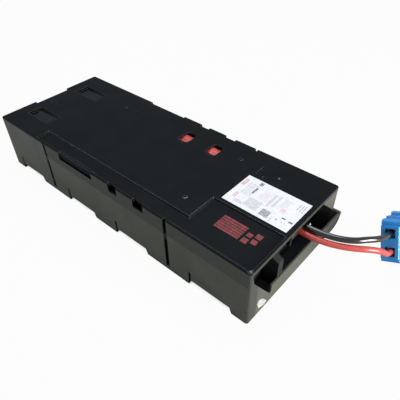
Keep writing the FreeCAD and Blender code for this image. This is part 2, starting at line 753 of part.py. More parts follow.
def cover_holes(body):
    """Oval holes over the red lead, tie slots, and pin holes."""
    holes = sketch_on(body, "XY_Plane", case_height + 1)
    for middle in (first_hole, second_hole):
        x = rear + middle
        draw_outline(holes, rectangle(x - hole_length / 2, x + hole_length / 2,
                                      hole_line - hole_width / 2, hole_line + hole_width / 2))
    through = pocket(body, holes, cover_thickness + 3)
    doc.recompute()
    band = (hole_line - hole_width).value

    def is_hole_corner(start, end):
        tall = abs(abs(start.z - end.z) - cover_thickness.value) < 1e-3
        return is_upright(start, end) and tall and start.y > band and start.x > 0

    round_edges(body, through, hole_round, is_hole_corner)
    slots = sketch_on(body, "XY_Plane", case_height + 1)
    draw_outline(slots, rectangle(rear + 120, rear + 148, hole_line, hole_line + 3.5))
    draw_outline(slots, rectangle(front - 86, front - 83.5, hole_line - 5, hole_line + 11))
    draw_outline(slots, rectangle(rear + 17, rear + 38, -12, -9.5))
    draw_outline(slots, rectangle(front - 76, front - 71, hole_line - 7, hole_line - 4))
    pocket(body, slots, 2.2)


def cover_studs(body):
    """Low moulded dots, hold-down ribs and the corner pin's well."""
    dots = sketch_on(body, "XY_Plane", case_height - 0.3)
    draw_circle(dots, rear + first_dot_start, near + first_dot_side, dot_diameter)
    draw_circle(dots, rear + second_dot_start, near + second_dot_side, dot_diameter)
    pad(body, dots, 0.8)
    ribs = sketch_on(body, "XY_Plane", battery_top + fit_gap)
    for low in (near + first_hold_down, near + second_hold_down):
        draw_outline(ribs, rectangle(rear + wall + rear_gap + 4,
                                     front - wide_ledge_length - hold_down_end,
                                     low, low + rib_thickness))
    pad(body, ribs, lead_room)
    well = sketch_on(body, "XY_Plane", case_height + 1)
    draw_circle(well, front - corner_pin_inset, near + corner_pin_inset, corner_well)
    pocket(body, well, ledge_drop + 1)


def make_cover():
    body = new_body("top_cover")
    cover_plate(body)
    cover_holes(body)
    cover_skirts(body)
    cover_ledge(body)
    cover_scoops(body)
    cover_studs(body)
    cover_windows(body)
    return body


# ---------------------------------------------------------------- blocks
def block_outline(shrink):
    """Upright rectangle of a block about its own middle."""
    across = battery_width / 2 - shrink
    up = battery_height / 2 - shrink
    return rectangle(-across, across, -up, up)


def lengthwise(start, end):
    return abs(start.y - end.y) < 1e-3 and abs(start.z - end.z) < 1e-3


def make_block(number, flipped):
    """Case, lid, vent strip and terminals of one block; a flipped one lies on its other side."""
    start = rear + wall + rear_gap + (number - 1) * pitch
    middle = floor_top + battery_height / 2
    name = f"battery_{number}"
    sign = -1 if flipped else 1
    terminal_z = sign * (battery_height / 2 - terminal_edge)
    lid_start = battery_depth - lid_depth

    case = new_body(f"{name}_case")
    outline = sketch_on(case, "YZ_Plane")
    draw_outline(outline, block_outline(lid_step))
    round_edges(case, pad(case, outline, lid_start), block_corner, lengthwise)
    place(case, start, 0, middle)

    lid = new_body(f"{name}_lid")
    outline = sketch_on(lid, "YZ_Plane", lid_start)
    draw_outline(outline, block_outline(0))
    round_edges(lid, pad(lid, outline, lid_depth), block_corner, lengthwise)
    recess = sketch_on(lid, "YZ_Plane", battery_depth)
    draw_outline(recess, rectangle(-vent_length / 2, vent_length / 2,
                                   -vent_width / 2, vent_width / 2))
    pocket(lid, recess, vent_depth)
    wells = sketch_on(lid, "YZ_Plane", battery_depth)
    for side in (-1, 1):
        across = side * terminal_offset
        draw_outline(wells, rectangle(across - well_side / 2, across + well_side / 2,
                                      terminal_z - well_side / 2, terminal_z + well_side / 2))
    pocket(lid, wells, well_depth)
    place(lid, start, 0, middle)

    vent = new_body(f"{name}_vent_strip")
    outline = sketch_on(vent, "YZ_Plane", battery_depth - vent_depth)
    draw_outline(outline, rectangle(fit_gap - vent_length / 2, vent_length / 2 - fit_gap,
                                    fit_gap - vent_width / 2, vent_width / 2 - fit_gap))
    pad(vent, outline, vent_depth + 0.4)
    place(vent, start, 0, middle)

    tabs = []
    for side, pole in ((-1, "a"), (1, "b")):
        tab = box(f"{name}_blade_{pole}", well_depth + tab_reach, tab_width, tab_thickness,
                  start + battery_depth - well_depth, side * terminal_offset - tab_width / 2,
                  middle + terminal_z - tab_thickness / 2)
        tabs.append(tab)
    terminals = grouped(f"{name}_terminals", tabs)
    return [case, lid, vent, terminals]


def blade_spot(number, flipped, side):
    """Middle of a blade where its receptacle sits, in the cartridge's frame."""
    start = rear + wall + rear_gap + (number - 1) * pitch
    sign = -1 if flipped else 1
    return (start + battery_depth + terminal_gap / 2, side * terminal_offset,
            floor_top + battery_height / 2 + sign * (battery_height / 2 - terminal_edge))


def receptacle(label, spot):
    """Insulated push-on receptacle: a rounded block with a slot for the blade."""
    x, y, z = spot
    low = x - terminal_gap / 2 + fit_gap
    hull = box(f"{label}_hull", receptacle_height, receptacle_width, receptacle_thickness,
               low, y - receptacle_width / 2, z - receptacle_thickness / 2)
    slot = box(f"{label}_slot", tab_reach + fit_gap, tab_width + 2 * fit_gap,
               tab_thickness + 2 * fit_gap, low - fit_gap, y - tab_width / 2 - fit_gap,
               z - tab_thickness / 2 - fit_gap)
    return cut(label, hull, slot)


# ---------------------------------------------------------------- wiring
run_level = battery_top + lead_diameter / 2 + fit_gap
link_level = battery_top + link_diameter / 2 + 3 * fit_gap
saddle_front = front - saddle_inset
saddle_rear = saddle_front - saddle_thickness
red_level = plate_underside - red_drop
black_level = plate_underside - black_drop


def make_link(number, from_spot, to_spot):
    """A series link: up out of one terminal gap, over a block and down into the next gap."""
    x1, y1, z1 = from_spot
    x2, y2, z2 = to_spot
    over = receptacle_thickness / 2
    route = [(x1, y1, z1 + over), (x1, y1, link_level),
             (x2, y2, link_level), (x2, y2, z2 + over)]
    return tube(f"series_link_{number}", route, link_diameter, link_diameter * 1.2)


def make_red_run(spot):
    """The red lead inside: out of the first gap, along under the holes, to the saddle."""
    x, y, z = spot
    edge = receptacle_width / 2
    line = hole_line - 2
    route = [(x, y - edge, z), (x, y - edge - 14, z), (x, 22, run_level),
             (x, 2, run_level), (x + 24, -7, run_level), (x + 62, 6, run_level),
             (x + 104, line - 7, run_level), (x + 134, line, run_level),
             (x + 214, line + 1, run_level), (divider_x - 56, line - 12, run_level),
             (divider_x - 26, red_side, run_level), (divider_x - 10, red_side, run_level),
             (divider_x - 4, red_side, run_level), (saddle_rear - 3, red_side, red_level),
             (saddle_rear + 3, red_side, red_level), (saddle_front, red_side, red_level)]
    return tube("red_lead_inner", route, lead_diameter)


def make_black_run(spot):
    """The black lead inside: up the last gap and forward through the gate."""
    x, y, z = spot
    edge = receptacle_width / 2
    rise = black_level - 7
    route = [(x, y - edge, z), (x, y - edge - 14, z), (x, 31, rise),
             (x + 4, 22, black_level - 1.5), (saddle_rear - 1.5, black_side, black_level),
             (saddle_front, black_side, black_level)]
    return tube("black_lead_inner", route, lead_diameter, lead_diameter)


def make_saddle():
    """Block under the cover's front edge with a bore for each lead."""
    y = (red_side + black_side) / 2
    hull = box("saddle_hull", saddle_thickness, saddle_width, saddle_height,
               saddle_rear, y - saddle_width / 2, plate_underside - saddle_height)
    bores = [cylinder(f"saddle_bore_{name}", lead_diameter, saddle_thickness + 2,
                      saddle_rear - 1, side, level, along_x)
             for name, side, level in (("red", red_side, red_level),
                                       ("black", black_side, black_level))]
    return cut("lead_saddle", hull, fused("saddle_bores", *bores))


# ---------------------------------------------------------------- free leads and connector
def sine(angle):
    return Size(math.sin(math.radians(angle.value)), f"sin({angle.text} * 1 deg)")


def cosine(angle):
    return Size(math.cos(math.radians(angle.value)), f"cos({angle.text} * 1 deg)")


# The stiff leads carry the connector's rear end, and the low corner of its nose rests on the
# surface. Its origin is the middle of its rear face; its own axes are thickness, length, poles.
connector_x = saddle_front + given("connector_ahead", 77.9, "connector ahead of the saddle")
connector_y = given("connector_side", 75.2, "connector's rear face from the centre line")
connector_z = (connector_length * sine(droop)
               + (connector_width * cosine(lean) + connector_thickness * sine(lean)) / 2
               * cosine(droop))
wire_stop = given("wire_stop", 10.0, "leads end this deep in the connector")
upper_pole = pole_pitch / 2
lower_pole = -pole_pitch / 2


def in_connector(sideways, inward, upward):
    """A place in the part's frame from one in the connector's own axes."""
    sideways, inward, upward = as_size(sideways), as_size(inward), as_size(upward)
    rise = sideways * sine(lean) + upward * cosine(lean)
    return (connector_x + sideways * cosine(lean) - upward * sine(lean),
            connector_y + inward * cosine(droop) + rise * sine(droop),
            connector_z - inward * sine(droop) + rise * cosine(droop))


def seat_connector_piece(piece):
    """Turn and move a piece that was made in the connector's own axes."""
    piece.Placement.Rotation = (FreeCAD.Rotation(Vector(1, 0, 0), -droop.value)
                                * FreeCAD.Rotation(Vector(0, 1, 0), -lean.value))
    place(piece, connector_x, connector_y, connector_z)
    return piece


def make_free_lead(label, side, level, bends, pole):
    """A free lead from the saddle to the connector; bends are ahead, aside and up."""
    route = [(saddle_front, side, level), (saddle_front + 15, side, level)]
    route += [(saddle_front + ahead, aside, up) for ahead, aside, up in bends]
    route += [in_connector(0, -3, pole), in_connector(0, wire_stop, pole)]
    return tube(label, route, lead_diameter)


black_bends = [(29, 16, 69), (42.5, 20.8, 68.8), (54.4, 28.5, 68.3), (62.8, 38.7, 67.5),
               (70.3, 50.2, 64.2), (73.4, 62.9, 58.8)]
red_bends = [(30, 12.2, 62.3), (44, 17.8, 61.8), (57.1, 25.2, 61.4), (69.5, 35.4, 60.1),
             (78.1, 46.4, 54.5), (81.9, 56.5, 44.1)]


def make_connector():
    """Two-pole battery connector: a collar, a stepped finger grip and two mating mouths."""
    body = new_body("connector_housing")
    length, thick, half = connector_length, connector_thickness, connector_width / 2
    side = sketch_on(body, "YZ_Plane", -thick / 2)
    collar = half - collar_step
    grip = [(collar_length, half - 1.5), (8, half), (21, half - grip_step),
            (22, half), (41, half - 1.5 * grip_step), (42, half)]
    upper = [(0, collar), (collar_length, collar)] + grip + [(length, half)]
    draw_outline(side, [(along, -out) for along, out in upper] + upper[::-1])
    block = pad(body, side, thick)
    doc.recompute()

    def is_rear_upright(start, end):
        return is_upright(start, end) and abs(start.y) < 1e-3

    round_edges(body, block, 1.6, is_rear_upright)
    entries = sketch_on(body, "XZ_Plane", 0)
    mouths = sketch_on(body, "XZ_Plane", -length)
    bores = sketch_on(body, "XZ_Plane", -entry_depth)
    for middle in (lower_pole, upper_pole):
        draw_outline(entries, rectangle(-pole_bore / 2, pole_bore / 2,
                                        middle - pole_bore / 2, middle + pole_bore / 2))
        draw_outline(mouths, rectangle(-mouth_width / 2, mouth_width / 2,
                                       middle - mouth_height / 2, middle + mouth_height / 2))
        draw_circle(bores, 0, middle, pole_bore - 1.0)
    pocket(body, entries, entry_depth)
    pocket(body, mouths, mouth_depth, along=True)
    pocket(body, bores, length - entry_depth - mouth_depth)
    rib = (pole_pitch - mouth_height) / 2 - 1
    keyway = sketch_on(body, "YZ_Plane", thick / 2)
    draw_outline(keyway, rectangle(length - 22, length + 1, -rib, rib))
    pocket(body, keyway, (thick - mouth_width) / 2 + 1)
    return seat_connector_piece(body)


def make_contact(pole, middle):
    """Silvered contact: a barrel on the wire and a flat tongue along one wall of the mouth."""
    mouth = connector_length - mouth_depth
    barrel = cylinder(f"contact_{pole}_barrel", pole_bore - 1, mouth + 1 - wire_stop,
                      0, wire_stop, middle, along_y)
    tongue = box(f"contact_{pole}_tongue", tongue_thickness, mouth_depth - 5,
                 mouth_height - 5, spring_thickness - mouth_width / 2, mouth,
                 middle - (mouth_height - 5) / 2)
    return fused(f"contact_{pole}", barrel, tongue)


def make_spring(pole, middle):
    """Leaf spring that presses a tongue, seated on the wall of the mouth."""
    return box(f"spring_{pole}", spring_thickness, mouth_depth - 6, 8,
               -mouth_width / 2, connector_length - mouth_depth, middle - 4)


# ---------------------------------------------------------------- small pieces
def make_label():
    label = box("rating_label", label_length, label_width, film,
                front - label_setback - label_length, near + label_side, case_height)
    return label


def make_sticker():
    """White sticker at the foot of the left post, on the front face."""
    body = new_body("front_sticker")
    outline = sketch_on(body, "YZ_Plane", front)
    draw_outline(outline, [(near + 15.5, 20), (near + 19, 8), (near + 30, 3.5),
                           (near + 34, 6), (near + 27, 17), (near + 20, 23)])
    pad(body, outline, film)
    return body


def make_print():
    """Red print on the wide ledge: lines of a printed field and a few blocks."""
    marks = []
    for row in range(6):
        marks.append(box(f"print_line_{row}", 31.0, 2.8, film,
                         front - 70.5, near + 29.5 + 3.5 * row, ledge_level))
    for index, (x, y, size) in enumerate(((33, 33, 7), (33, 42, 6), (24, 37, 6.5),
                                          (24, 46, 7))):
        marks.append(box(f"print_block_{index}", size, size, film,
                         front - x - size / 2, near + y - size / 2, ledge_level))
    return grouped("red_print", marks)


def make_pins():
    """Push pins of the cover: a flat head on the plate and a stud in the corner's well."""
    plate_pin = cylinder("pin_head_plate", pin_head, 1.2, front - 59, near + 134, case_height)
    corner_pin = cylinder("pin_stud_corner", corner_pin_diameter, ledge_drop + 0.4,
                          front - corner_pin_inset, near + corner_pin_inset, ledge_level)
    return grouped("cover_pins", [plate_pin, corner_pin])


def make_lead_fence():
    """Tab that hangs from the cover beside the leads and keeps fingers off them."""
    return box("lead_fence", 2 * wall - fit_gap, lead_fence, lead_fence_drop,
               front - 3 * wall, lead_fence_side, plate_underside - lead_fence_drop)


def make_cards():
    """Insulating cards that keep the blades off the next block."""
    cards = []
    for number in range(1, battery_count):
        x = rear + wall + rear_gap + number * pitch - card_thickness - fit_gap
        cards.append(box(f"terminal_card_{number}", card_thickness, battery_width - 8,
                         battery_height - 6, x, 4 - battery_width / 2, floor_top))
    return cards


def make_foam():
    """Foam strips that hold the blocks down, near and far."""
    start = rear + wall + rear_gap
    length = battery_count * pitch - terminal_gap
    near_strip = box("foam_strip_near", length, foam_width,
                     ledge_level - cover_thickness - battery_top,
                     start, near + side_room + wall + 2, battery_top)
    far_strip = box("foam_strip_far", length, foam_width, lead_room,
                    start, far - side_room - wall - 2 - foam_width, battery_top)
    return [near_strip, far_strip]


# ---------------------------------------------------------------- assembly
nodes = [make_tray(), make_cover()]
flipped_blocks = (2, 4)
for block_number in range(1, battery_count + 1):
    nodes += make_block(block_number, block_number in flipped_blocks)

for link_number, link_side in ((1, -1), (2, 1), (3, -1)):
    next_block = link_number + 1
    from_here = blade_spot(link_number, link_number in flipped_blocks, link_side)
    to_here = blade_spot(next_block, next_block in flipped_blocks, link_side)
    nodes.append(make_link(link_number, from_here, to_here))
    nodes.append(grouped(f"link_{link_number}_receptacles", [
        receptacle(f"link_{link_number}_receptacle_a", from_here),
        receptacle(f"link_{link_number}_receptacle_b", to_here)]))

red_spot = blade_spot(1, False, 1)
black_spot = blade_spot(4, True, 1)
nodes += [make_red_run(red_spot), receptacle("red_lead_receptacle", red_spot),
          make_black_run(black_spot), receptacle("black_lead_receptacle", black_spot),
          make_saddle(),
          make_free_lead("red_lead", red_side, red_level, red_bends, lower_pole),
          make_free_lead("black_lead", black_side, black_level, black_bends, upper_pole),
          make_connector(),
          seat_connector_piece(grouped("connector_contacts", [
              make_contact("a", lower_pole), make_contact("b", upper_pole)])),
          seat_connector_piece(grouped("connector_springs", [
              make_spring("a", lower_pole), make_spring("b", upper_pole)])),
          make_lead_fence(), make_label(), make_sticker(), make_print(), make_pins()]
nodes += make_cards() + make_foam()

doc.recompute()

# ---------------------------------------------------------------- checks and export
failed = [thing.Name for thing in doc.Objects
          if "Invalid" in thing.State or "Error" in thing.State]
if failed:
    raise RuntimeError(f"features failed: {failed}")
for node in nodes:
    if node.Shape.isNull() or not node.Shape.isValid() or not node.Shape.Solids:
        raise RuntimeError(f"{node.Label} has no valid shape")

os.makedirs("parts", exist_ok=True)
for node in nodes:
    node.Shape.exportStep(f"parts/{node.Label}.step")
print(len(nodes), "nodes written")
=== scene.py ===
"""Looks of a rack UPS battery cartridge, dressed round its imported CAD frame.

Every length is in metres in the frame of the CAD: +X towards the lead end, +Y towards the
far long side, +Z up, and z = 0 on the surface the cartridge stands on.
"""

import math

import bpy
import numpy as np
from mathutils import Matrix, Vector


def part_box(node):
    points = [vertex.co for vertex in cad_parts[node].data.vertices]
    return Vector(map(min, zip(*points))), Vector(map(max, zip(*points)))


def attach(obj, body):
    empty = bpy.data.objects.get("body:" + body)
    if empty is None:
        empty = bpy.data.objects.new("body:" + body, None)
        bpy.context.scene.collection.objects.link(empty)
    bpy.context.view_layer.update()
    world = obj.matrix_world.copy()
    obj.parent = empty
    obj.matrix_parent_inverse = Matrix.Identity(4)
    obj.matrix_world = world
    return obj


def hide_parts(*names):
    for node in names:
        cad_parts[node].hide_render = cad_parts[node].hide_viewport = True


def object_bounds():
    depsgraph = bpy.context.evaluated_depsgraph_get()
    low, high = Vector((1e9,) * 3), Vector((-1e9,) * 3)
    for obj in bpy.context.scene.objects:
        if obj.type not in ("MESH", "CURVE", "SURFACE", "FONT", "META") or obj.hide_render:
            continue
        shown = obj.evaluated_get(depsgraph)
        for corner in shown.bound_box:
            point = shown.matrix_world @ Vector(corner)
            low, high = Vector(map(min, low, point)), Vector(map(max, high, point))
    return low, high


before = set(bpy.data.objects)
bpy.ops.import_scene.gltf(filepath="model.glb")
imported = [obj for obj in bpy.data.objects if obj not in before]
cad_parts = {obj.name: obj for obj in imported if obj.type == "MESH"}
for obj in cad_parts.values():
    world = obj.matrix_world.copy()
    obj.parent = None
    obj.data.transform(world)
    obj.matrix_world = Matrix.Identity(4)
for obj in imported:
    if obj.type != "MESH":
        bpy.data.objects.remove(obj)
cad_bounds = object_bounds()
scene = bpy.context.scene
MM = 0.001


# ---------------------------------------------------------------- colour and nodes
def linear(code, alpha=1.0):
    """sRGB hex to linear: c/12.92 below 0.04045, else ((c + 0.055)/1.055) to the power 2.4."""
    parts = np.array([int(code[i:i + 2], 16) / 255 for i in (1, 3, 5)])
    lit = np.where(parts <= 0.04045, parts / 12.92, ((parts + 0.055) / 1.055) ** 2.4)
    return (*lit.tolist(), alpha)


def add(tree, kind, inputs=None, stops=(), **settings):
    """One node: each input is joined to a socket or set to a value, settings are the node's
    attributes, and stops are the (position, colour) pairs of a ramp."""
    node = tree.nodes.new(kind)
    for name, value in settings.items():
        setattr(node, name, value)
    for name, value in (inputs or {}).items():
        if isinstance(value, bpy.types.NodeSocket):
            tree.links.new(value, node.inputs[name])
        else:
            node.inputs[name].default_value = value
    if stops:
        for element, (position, colour) in zip(node.color_ramp.elements, stops):
            element.position = position
            element.color = colour
    return node


def new_material(name):
    """An empty node tree with a Principled shader wired to the output."""
    material = bpy.data.materials.new(name)
    material.use_nodes = True
    tree = material.node_tree
    tree.nodes.clear()
    shader = add(tree, "ShaderNodeBsdfPrincipled")
    add(tree, "ShaderNodeOutputMaterial", {"Surface": shader.outputs["BSDF"]})
    return material, tree, shader


# ---------------------------------------------------------------- masks
def inside_box(tree, place, low, high, feather):
    """1 inside a box in the part's frame, fading to 0 over the feather outside it: on each axis
    1 - clamp((|place - middle| - half size) / feather), and the three multiplied."""
    low, high = np.array(low), np.array(high)
    vector = place
    for operation, other in (("SUBTRACT", (low + high) / 2), ("ABSOLUTE", None),
                             ("SUBTRACT", (high - low) / 2), ("DIVIDE", (feather,) * 3),
                             ("MAXIMUM", (0, 0, 0)), ("MINIMUM", (1, 1, 1))):
        inputs = {0: vector} if other is None else {0: vector, 1: other}
        vector = add(tree, "ShaderNodeVectorMath", inputs, operation=operation).outputs["Vector"]
    left = add(tree, "ShaderNodeVectorMath", {0: (1, 1, 1), 1: vector}, operation="SUBTRACT")
    x, y, z = add(tree, "ShaderNodeSeparateXYZ", {"Vector": left.outputs["Vector"]}).outputs
    flat = add(tree, "ShaderNodeMath", {0: x, 1: y}, operation="MULTIPLY").outputs[0]
    return add(tree, "ShaderNodeMath", {0: flat, 1: z}, operation="MULTIPLY").outputs[0]


def edge_wear_and_highlight(tree, radius):
    """A 0 to 1 mask of scuffed edges, which also serves as painted edge highlights, and the rounded
    normal. The mask grows with 1 - the cosine between the rounded and the true normal."""
    round_normal = add(tree, "ShaderNodeBevel", {"Radius": radius}, samples=12).outputs["Normal"]
    true_normal = add(tree, "ShaderNodeNewGeometry").outputs["True Normal"]
    alike = add(tree, "ShaderNodeVectorMath", {0: round_normal, 1: true_normal},
                operation="DOT_PRODUCT").outputs["Value"]
    turned = add(tree, "ShaderNodeMath", {0: 1.0, 1: alike}, operation="SUBTRACT").outputs[0]
    mask = add(tree, "ShaderNodeMapRange", {"Value": turned, "From Min": 0.04, "From Max": 0.3})
    return mask.outputs["Result"], round_normal


# ---------------------------------------------------------------- materials
# The colour sockets of a Mix node: its factor, its two colours, and its result.
FACTOR, FIRST, SECOND, MIXED = 0, 6, 7, 2


def spark_eroded_abs(name, base, lighter, scuff_highlight_colour, roughness, grain_mm, bump, scuff_highlight_level=0.5,
                     edge_mm=0.7, sheen=0.5, scuff_highlight_boxes=(), painted_light_zones=()):
    """Moulded ABS with a spark-eroded grain: a dull, faintly mottled skin, painted shade in its
    crevices, and scuffed, paler edges that are partly a painted highlight. The real grain is 0.1
    to 0.2 mm and is drawn coarser to show. Edges are scuffed and highlit fully inside the edge
    boxes only. Each zone is a box, the way its faces look, the least cosine to that way, and the
    colour they take, which is painted light or shade."""
    material, tree, shader = new_material(name)
    place = add(tree, "ShaderNodeTexCoord").outputs["Object"]
    cloud = add(tree, "ShaderNodeTexNoise",
                {"Vector": place, "Scale": 1 / (38 * MM), "Detail": 3.0}).outputs["Fac"]
    grain = add(tree, "ShaderNodeTexNoise",
                {"Vector": place, "Scale": 1 / (grain_mm * MM), "Detail": 2.0}).outputs["Fac"]
    colour = add(tree, "ShaderNodeValToRGB", {"Fac": cloud},
                 stops=[(0.35, linear(base)), (0.7, linear(lighter))]).outputs["Color"]
    facing = add(tree, "ShaderNodeNewGeometry").outputs["True Normal"]
    # Painted light and shade: faces inside each zone's box that look its way take its colour.
    for box, way, least, tint in painted_light_zones:
        towards = add(tree, "ShaderNodeVectorMath", {0: facing, 1: way},
                      operation="DOT_PRODUCT").outputs["Value"]
        faces = add(tree, "ShaderNodeMath", {0: towards, 1: least},
                    operation="GREATER_THAN").outputs[0]
        mask = add(tree, "ShaderNodeMath",
                   {0: faces, 1: inside_box(tree, place, *box, 0.3 * MM)},
                   operation="MULTIPLY").outputs[0]
        colour = add(tree, "ShaderNodeMix", {FACTOR: mask, FIRST: colour, SECOND: linear(tint)},
                     data_type="RGBA").outputs[MIXED]
    # Painted shade: ambient occlusion darkens crevices, recesses and corners towards near black.
    painted_shade_occlusion = add(tree, "ShaderNodeAmbientOcclusion", {"Distance": 5 * MM}, samples=8)
    unshaded_share = add(tree, "ShaderNodeMapRange", {"Value": painted_shade_occlusion.outputs["AO"], "From Min": 0.2,
                                             "From Max": 0.75}).outputs["Result"]
    colour = add(tree, "ShaderNodeMix",
                 {FACTOR: unshaded_share, FIRST: linear("#08090a"), SECOND: colour},
                 data_type="RGBA").outputs[MIXED]
    # Paler edges: partly scuffing, partly a painted highlight along the edges.
    scuff_highlight_mask, rounded = edge_wear_and_highlight(tree, edge_mm * MM)
    if scuff_highlight_boxes:
        reached = 0.0
        for box in scuff_highlight_boxes:
            reached = add(tree, "ShaderNodeMath",
                          {0: reached, 1: inside_box(tree, place, *box, MM)},
                          operation="MAXIMUM").outputs[0]
        scuff_highlight_level = add(tree, "ShaderNodeMapRange",
                  {"Value": reached, "To Min": scuff_highlight_level / 4, "To Max": scuff_highlight_level}).outputs["Result"]
    scuff_highlight_share = add(tree, "ShaderNodeMath", {0: scuff_highlight_mask, 1: scuff_highlight_level}, operation="MULTIPLY").outputs[0]
    colour = add(tree, "ShaderNodeMix", {FACTOR: scuff_highlight_share, FIRST: colour, SECOND: linear(scuff_highlight_colour)},
                 data_type="RGBA").outputs[MIXED]
    tree.links.new(colour, shader.inputs["Base Color"])
    gloss = add(tree, "ShaderNodeMapRange", {"Value": grain, "To Min": roughness - 0.07,
                                             "To Max": roughness + 0.07})
    tree.links.new(gloss.outputs["Result"], shader.inputs["Roughness"])
    skin = add(tree, "ShaderNodeBump", {"Height": grain, "Normal": rounded, "Strength": bump,
                                        "Distance": 0.1 * MM})
    tree.links.new(skin.outputs["Normal"], shader.inputs["Normal"])
    shader.inputs["IOR"].default_value = 1.52
    shader.inputs["Specular IOR Level"].default_value = sheen
    return material


def smooth_plastic(name, base, second, roughness, scale_mm=9.0, ior=1.5, coat=0.0):
    """Polished or semi-gloss moulding: one hue with a slight drift, and a shallow ripple."""
    material, tree, shader = new_material(name)
    place = add(tree, "ShaderNodeTexCoord").outputs["Object"]
    drift = add(tree, "ShaderNodeTexNoise",
                {"Vector": place, "Scale": 1 / (scale_mm * MM), "Detail": 2.0}).outputs["Fac"]
    tint = add(tree, "ShaderNodeValToRGB", {"Fac": drift},
               stops=[(0.3, linear(base)), (0.75, linear(second))])
    tree.links.new(tint.outputs["Color"], shader.inputs["Base Color"])
    fine = add(tree, "ShaderNodeTexNoise",
               {"Vector": place, "Scale": 1 / (0.9 * MM), "Detail": 2.0}).outputs["Fac"]
    soft = add(tree, "ShaderNodeBevel", {"Radius": 0.4 * MM}, samples=4).outputs["Normal"]
    ripple = add(tree, "ShaderNodeBump", {"Height": fine, "Normal": soft, "Strength": 0.12,
                                          "Distance": 0.05 * MM})
    tree.links.new(ripple.outputs["Normal"], shader.inputs["Normal"])
    shader.inputs["Roughness"].default_value = roughness
    shader.inputs["IOR"].default_value = ior
    shader.inputs["Coat Weight"].default_value = coat
    return material


def plated_metal(name, base, second, roughness):
    """Tinned or silvered sheet: bright, with rolling marks 0.3 mm apart along its length."""
    material, tree, shader = new_material(name)
    place = add(tree, "ShaderNodeTexCoord").outputs["Object"]
    stretched = add(tree, "ShaderNodeMapping", {"Vector": place, "Scale": (0.1, 1.0, 1.0)})
    marks = add(tree, "ShaderNodeTexNoise", {"Vector": stretched.outputs["Vector"],
                                             "Scale": 1 / (0.3 * MM), "Detail": 3.0})
    tint = add(tree, "ShaderNodeValToRGB", {"Fac": marks.outputs["Fac"]},
               stops=[(0.3, linear(base)), (0.8, linear(second))])
    tree.links.new(tint.outputs["Color"], shader.inputs["Base Color"])
    shader.inputs["Metallic"].default_value = 1.0
    shader.inputs["Roughness"].default_value = roughness
    return material


def fibrous_sheet(name, base, second, roughness, grain_mm):
    """Paper, pressed board, film or foam: matt, flecked, with a shallow felt of fibres or
    cells."""
    material, tree, shader = new_material(name)
    place = add(tree, "ShaderNodeTexCoord").outputs["Object"]
    fleck = add(tree, "ShaderNodeTexNoise",
                {"Vector": place, "Scale": 1 / (grain_mm * MM), "Detail": 4.0}).outputs["Fac"]
    tint = add(tree, "ShaderNodeValToRGB", {"Fac": fleck},
               stops=[(0.3, linear(base)), (0.7, linear(second))])
    tree.links.new(tint.outputs["Color"], shader.inputs["Base Color"])
    felt = add(tree, "ShaderNodeBump", {"Height": fleck, "Strength": 0.15,
                                        "Distance": 0.05 * MM})
    tree.links.new(felt.outputs["Normal"], shader.inputs["Normal"])
    shader.inputs["Roughness"].default_value = roughness
    return material


def broken_ink(name, base, second, bare):
    """Screen ink in small broken strokes: the moulding shows through between them."""
    material, tree, shader = new_material(name)
    place = add(tree, "ShaderNodeTexCoord").outputs["Object"]
    tall = add(tree, "ShaderNodeMapping", {"Vector": place, "Scale": (1.0, 0.45, 1.0)})
    strokes = add(tree, "ShaderNodeTexNoise", {"Vector": tall.outputs["Vector"],
                                               "Scale": 1 / (1.5 * MM), "Detail": 2.0})
    drift = add(tree, "ShaderNodeTexNoise",
                {"Vector": place, "Scale": 1 / (6 * MM), "Detail": 2.0}).outputs["Fac"]
    tint = add(tree, "ShaderNodeValToRGB", {"Fac": drift},
               stops=[(0.35, linear(base)), (0.65, linear(second))]).outputs["Color"]
    gaps = add(tree, "ShaderNodeValToRGB", {"Fac": strokes.outputs["Fac"]},
               stops=[(0.40, (1, 1, 1, 1)), (0.46, (0, 0, 0, 1))]).outputs["Color"]
    colour = add(tree, "ShaderNodeMix", {FACTOR: gaps, FIRST: tint, SECOND: linear(bare)},
                 data_type="RGBA").outputs[MIXED]
    tree.links.new(colour, shader.inputs["Base Color"])
    shader.inputs["Roughness"].default_value = 0.55
    return material


# ---------------------------------------------------------------- painted light and shade by place
# Millimetres from the rear face, the near face and the ground. Boxes reach past the outer
# faces that they take in: by slack at the ends, by half of it at the long sides. The tones
# are painted light and shade: painted shade in slots, hollows, scoops, windows and foot
# cut-outs and on the prop rib and front post, painted light on the pocket floor, the cover's
# skirts and front rim, and the scoop ramps.
case_length, case_width = 442, 168
slack, over_top, side_depth = 1, 82, 6.6
rear_x, near_y = cad_bounds[0][0], -case_width / 2 * MM
AHEAD, BEHIND, NEARER, FARTHER, UP = ((1, 0, 0), (-1, 0, 0), (0, -1, 0), (0, 1, 0), (0, 0, 1))
LONG_SIDES = ((-slack / 2, side_depth, NEARER),
              (case_width - side_depth, case_width + slack / 2, FARTHER))
# Near-black painted shade: the first for slots and foot cut-outs, the second for small hollows and
# scoop walls.
PAINTED_SHADE, PAINTED_DEEP_SHADE = "#070808", "#020303"


def zone_box(x_low, x_high, y_low, y_high, z_low, z_high):
    """A box from the rear face, the near face and the ground, in millimetres."""
    return ([rear_x + x_low * MM, near_y + y_low * MM, z_low * MM],
            [rear_x + x_high * MM, near_y + y_high * MM, z_high * MM])


def shaded_slots():
    """The two upright slots in both long sides: painted shade on their walls and on the edges
    beside them.
    """
    slot_width, edge = 4.0, 0.7
    tones = []
    for low, high, outward in LONG_SIDES:
        for start in (102.5, 326.5):
            slot = zone_box(start - edge, start + slot_width + edge, low, high, 5, 81)
            tones += [(slot, way, 0.6, PAINTED_SHADE) for way in (outward, AHEAD, BEHIND)]
    return tones


